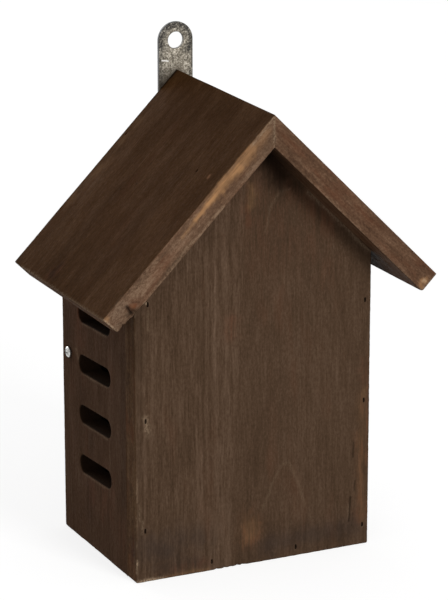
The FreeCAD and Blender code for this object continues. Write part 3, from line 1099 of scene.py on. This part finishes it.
def weather_and_shade_left_roof(piece):
    """The left slope: darker runs, specks, a knot near the eave, a dark back corner, a painted shadow along
    the back edge below the hanger plate, darker towards the ridge and a dry eave.
    """
    piece.scatter("dark", 18, lambda y, down: on_left_roof(down, y), (rim_y + 4, back_y - 4), (4, 70),
                  (15, 50), (1.5, 6.0), (0.04, 0.14))
    piece.streaks(
        "dark", on_left_roof,
        ((63.1, 7.5), (63.3, 7.5), 0.45, 0.7), ((46.0, -0.4), (46.2, -0.4), 0.4, 0.6),
        ((57.5, -2.2), (57.7, -2.2), 0.4, 0.6),
    )
    piece.streaks("warm", on_left_roof, ((110, 3.4), (114, 4.2), 3.6, 0.35))
    # The knot's dark heart, a dark back corner, a painted shadow along the back edge below the hanger plate,
    # and darker towards the ridge
    piece.streaks(
        "dark", on_left_roof,
        ((112, 4.6), (113.6, 3.6), 2.8, 0.5), ((108.0, 2.8), (110, 3.3), 1.8, 0.5),
        ((115.5, 40), (117, 38), 2.4, 0.3), ((0, back_y), (17, back_y), 1.6, 0.9),
        ((10, rim_y), (10, back_y), 20.0, 0.1),
    )
    piece.streaks("dry", on_left_roof, ((102, rim_y), (102, back_y), 18.0, 0.015))

    # Bare wood at the front brad and in a row of scuffs along the back
    piece.streaks("warm", on_left_roof, ((38.5, -51.3), (38.9, -51.3), 0.7, 0.9))
    piece.streaks(
        "bare", on_left_roof,
        ((38.1, -51.3), (39.3, -51.3), 0.6, 0.3), ((29.8, 38.2), (34.2, 38.2), 2.2, 0.1),
        ((39.5, 37.4), (43.5, 37.4), 2.0, 0.12), ((52.6, 33.5), (57.0, 33.5), 2.2, 0.08),
        ((58.5, 36.8), (63.3, 36.8), 2.4, 0.1), ((77.6, 38.6), (82.4, 38.6), 2.4, 0.08),
    )
    piece.streaks(
        "dry", left_eave,
        ((rim_y, 10.0), (-48, 10.2), 0.8, 0.6), ((-20, 0.5), (34, 0.4), 0.6, 0.6),
        ((rim_y, 0.4), (-20, 0.4), 0.6, 0.45),
    )


def right_roof_board():
    piece = roof_board("right_roof_board", 1, RIGHT_SLOPE, RIGHT_ROOF, 5)
    piece.streaks(
        "bare", on_right_rim,
        ((114.0, 6.4), (116.0, 5.4), 1.0, 0.9), ((115.6, 8), (117, 8.6), 1.2, 0.5),
    )

    # Painted shade on the soffit: darker beside the wall, more so further back, and under the ridge ahead of
    # the front panel
    beside_front = front_y - 5
    piece.streaks(
        "dark", on_right_soffit,
        ((98, front_y + 4), (98, back_y), 9.0, 1.0), ((110, front_y + 20), (110, back_y), 12.0, 0.8),
        ((12, beside_front), (24, beside_front), 13.0, 0.85),
        ((24, beside_front), (38, beside_front), 9.0, 0.45),
    )

    # The sawn front edge: a bruised lower corner and rubbed arrises
    piece.streaks("dark", on_right_rim, ((110.2, 1.0), (110.8, 6.5), 0.9, 0.15))
    piece.streaks("warm", on_right_rim, ((107.5, 8.6), (109.5, 8.8), 1.5, 0.45))
    piece.streaks(
        "dry", on_right_rim,
        ((114.8, 6.2), (115.8, 5.8), 0.7, 1.0), ((118.1, 0.8), (118.1, 9.0), 0.6, 0.4),
        ((117.2, 9.6), (118.2, 10.0), 0.8, 1.0), ((8, 10.1), (112, 10.1), 0.4, 0.1),
        ((1.0, 1.0), (10.5, 10.0), 0.4, 0.3),
    )
    piece.chip(on_right_rim(118.5, 10.5), 2.0, 0.9, inner=True)
    return piece


def floor_board():
    top = floor_high.z
    piece = Piece("floor_board", (0, 0, top), X, Z, top - floor_low.z, 6)
    # One wide mark of painted shade over the whole upper face, which is inside the nest
    piece.mark("dark", (floor_low.x, 0, top), (floor_high.x, 0, top), 60.0, INSIDE_PAINTED_SHADE)
    corners = rectangle(floor_low.x, floor_low.y, floor_high.x, floor_high.y)
    outer = [(x, y, top) for x, y in corners]
    inner = [(x, y, floor_low.z) for x, y in corners]
    piece.outline(outer, inner, (0.0, 0.0, 0.3, 0.0))
    piece.ease_unevenly(0.6)
    return piece


def back_panel():
    corners = [(back_low.x, back_low.z), (back_high.x, back_low.z), (back_high.x, wall_inner_top),
               (0, ridge_underside), (back_low.x, wall_inner_top)]
    return cross_board("back_panel", back_high.y, back_low.y, corners, (0.3, 0.0, 0.0, 0.0, 0.0), 7)


def back_door():
    corners = rectangle(door_low.x, door_low.z, door_high.x, door_high.z)
    return cross_board("back_door", door_high.y, door_low.y, corners, (0.3, 0.25, 0.3, 0.25), 8)


def hanger_plate():
    """A strip with round ends, the hanging hole and two countersunk holes."""
    middle_x = (plate_low.x + plate_high.x) / 2
    radius = (plate_high.x - plate_low.x) / 2
    thickness = plate_high.y - plate_low.y
    length = plate_high.z - plate_low.z
    hole_z = plate_high.z - radius
    piece = Piece("hanger_plate", (middle_x, plate_high.y, 0), Z, Y, thickness, 9,
                  inner_spacing=PLATE_SPACING)
    place = piece.local([(middle_x, 0, (plate_low.z + plate_high.z) / 2)])[0, :2]
    ends = place + slot_hole(length, 2 * radius, count=40, spacing=1.0)[:, ::-1] * (1, -1)
    piece.loops.append(Loop(ends, ends, left_normals(ends), thickness, np.ones(len(ends)), 0.35))
    piece.hole((middle_x, 0, hole_z), round_hole(PLATE_HOLE_RADIUS, 48), shade=0.6, radius=0.3)
    for screw in head_middles("hanger_screws", -Y):
        piece.hole(screw, round_hole(PLATE_SINK_RADIUS), round_hole(PLATE_SHANK_RADIUS), radius=0.08)

    def on_plate(aside, above):
        """A point of the face towards the ridge, from the middle of the hanging hole."""
        return middle_x + aside, plate_low.y, hole_z + above

    # A scratch, darker zinc round the top and down both sides, and darker brown just above the roof
    piece.streaks("bare", on_plate, ((-7.2, -9.2), (-4.0, -9.8), 0.28, 0.85))
    rim = 0.93 * radius
    for degrees in range(-30, 205, 12):
        turn = math.radians(degrees)
        spot = on_plate(rim * math.cos(turn), rim * math.sin(turn))
        piece.mark("dark", spot, spot, 2.8, 0.95)
    piece.streaks("dark", on_plate, ((-8.0, -22), (-8.0, 0), 1.4, 0.5), ((8.0, -22), (8.0, 0), 1.4, 0.65))
    piece.streaks("warm", on_plate, ((-9, -22), (1, -16.5), 5.0, 0.9))
    return piece


# Shades of the boards' stain, and the line on the front beyond which its grain shows more
FRONT_TINT = (1.11, 1.11, 1.14)
FRONT_RIM_TINT = (0.69, 0.60, 0.455)
WALL_TINT = (1.02, 0.90, 0.86)
ROOF_TINT = (0.94, 0.685, 0.37)
LEFT_RIM_TINT = (1.03, 0.98, 0.92)
RIGHT_RIM_TINT = (0.90, 0.815, 0.745)
FRONT_CHANGE = (12.7, -0.045)


def front_wood():
    return stained_wood("front_wood", (-18, -45), -0.10, 1, FRONT_TINT, FRONT_RIM_TINT, change=FRONT_CHANGE)


def wall_wood(name, pith, tilt, seed):
    return stained_wood(name, pith, tilt, seed, WALL_TINT, streak=0.6)


def roof_wood(name, pith, tilt, seed, rim_tint):
    return stained_wood(name, pith, tilt, seed, ROOF_TINT, rim_tint, streak=0.55, patchy=1.9)


def boards():
    """Each wooden piece with its material and the body that it rides on."""
    return [
        (front_panel(), front_wood(), "house"),
        (side_wall("left_wall", -1, 2), wall_wood("left_wall_wood", (20, -60), 0.05, 2), "house"),
        (side_wall("right_wall", 1, 3), wall_wood("right_wall_wood", (-15, -40), 0.07, 3), "house"),
        (left_roof_board(), roof_wood("left_roof_wood", (10, -50), 0.06, 4, LEFT_RIM_TINT), "house"),
        (right_roof_board(), roof_wood("right_roof_wood", (-25, -55), 0.05, 5, RIGHT_RIM_TINT), "house"),
        (floor_board(), stained_wood("floor_wood", (5, -40), 0.06, 6), "house"),
        (back_panel(), stained_wood("back_wood", (12, -45), 0.08, 7), "house"),
        (back_door(), stained_wood("door_wood", (-20, -40), 0.09, 8), "door"),
    ]


def dress_nodes():
    """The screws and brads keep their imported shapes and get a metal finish."""
    zinc = plated_steel("zinc_plate", rgb(0.62, 0.62, 0.60), rgb(0.24, 0.235, 0.225), 0.24)
    dull = plated_steel("brad_steel", rgb(0.060, 0.050, 0.042), rgb(0.025, 0.020, 0.016), 0.45)
    for name, node in frame["nodes"].items():
        if "screw" in name or "brad" in name:
            node.data.materials.clear()
            node.data.materials.append(zinc if "screw" in name else dull)


# Floor, light and camera

AMBIENT = 0.40
FLOOR_BOUNCE = 0.35
FLOOR_WHITE = 0.40
FLOOR_GLOW = 0.77
FLOOR_SIZE = 14.0
LAMPS = {  # direction from the house, distance, size and power
    "key": ((0.22, -0.93, 0.31), 1.6, 0.5, 13.8),
    "fill": ((-0.60, -0.78, 0.12), 2.0, 0.9, 6.0),
    "rear": ((-0.15, 0.95, 0.25), 2.0, 1.2, 10.0),
}
CAMERA_PLACE = (-0.58419, -1.22760, 0.52637)
CAMERA_AZIMUTH = -25.623
CAMERA_ELEVATION = 16.762
FOCAL_PIXELS = 3033.0
FRAME_HEIGHT_PIXELS = 600
SENSOR = 36.0


def seen_directly(shader):
    """1 for rays that show the background: from the camera, in a reflection or through glass."""
    path = shader.node("LightPath", {})
    total = Value(shader, path.outputs["Is Camera Ray"])
    for name in ("Is Glossy Ray", "Is Transmission Ray"):
        total = shader.math("MAXIMUM", total, Value(shader, path.outputs[name]))
    return total


def make_floor():
    half = FLOOR_SIZE / 2
    mesh = bpy.data.meshes.new("floor")
    corners = [(x, y, 0) for x, y in rectangle(-half, -half, half, half)]
    mesh.from_pydata(corners, [], [(0, 1, 2, 3)])
    floor = new_object("floor", mesh)
    shader = Shader(bpy.data.materials.new("floor_white"))
    seen = seen_directly(shader)
    tone = seen.spread(0.0, 1.0, FLOOR_BOUNCE, FLOOR_WHITE)
    shader.put(shader.surface, {
        "Base Color": shader.add("CombineColor", {0: tone, 1: tone, 2: tone}),
        "Roughness": 1.0,
        "Specular IOR Level": 0.0,
        "Emission Color": rgb(1.0, 1.0, 1.0),
        "Emission Strength": seen * FLOOR_GLOW,
    })
    mesh.materials.append(shader.block)


def make_world():
    world = bpy.data.worlds.new("studio")
    bpy.context.scene.world = world
    shader = Shader(world)
    strength = shader.add("MapRange", {"Value": seen_directly(shader), "To Min": AMBIENT, "To Max": 1.0})
    shader.put(shader.surface, {"Color": rgb(1.0, 1.0, 1.0), "Strength": strength})


def soft_light(name, direction, distance, size, power):
    """A square lamp that faces the middle of the house."""
    middle = Vector((0, 0, ridge_top / 2)) * MM
    direction = Vector(direction)
    light = bpy.data.lights.new(name, "AREA")
    light.size = size
    light.energy = power
    lamp = new_object(name, light)
    lamp.location = middle + direction.normalized() * distance
    lamp.rotation_euler = direction.to_track_quat("Z", "Y").to_euler()


def make_camera():
    data = bpy.data.cameras.new("camera")
    data.sensor_width = SENSOR
    data.lens = FOCAL_PIXELS / FRAME_HEIGHT_PIXELS * SENSOR
    camera = new_object("camera", data)
    camera.location = CAMERA_PLACE
    camera.rotation_euler = (math.radians(90 - CAMERA_ELEVATION), 0, math.radians(CAMERA_AZIMUTH))
    bpy.context.scene.camera = camera


for board, wood, body in boards():
    board.build(wood, body, "stained_wood")
hanger_plate().build(galvanised_steel(), "house", "galvanised_steel")
dress_nodes()

make_floor()
make_world()
for lamp_name, lamp_values in LAMPS.items():
    soft_light(lamp_name, *lamp_values)
make_camera()
bpy.context.scene.view_settings.view_transform = "Standard"
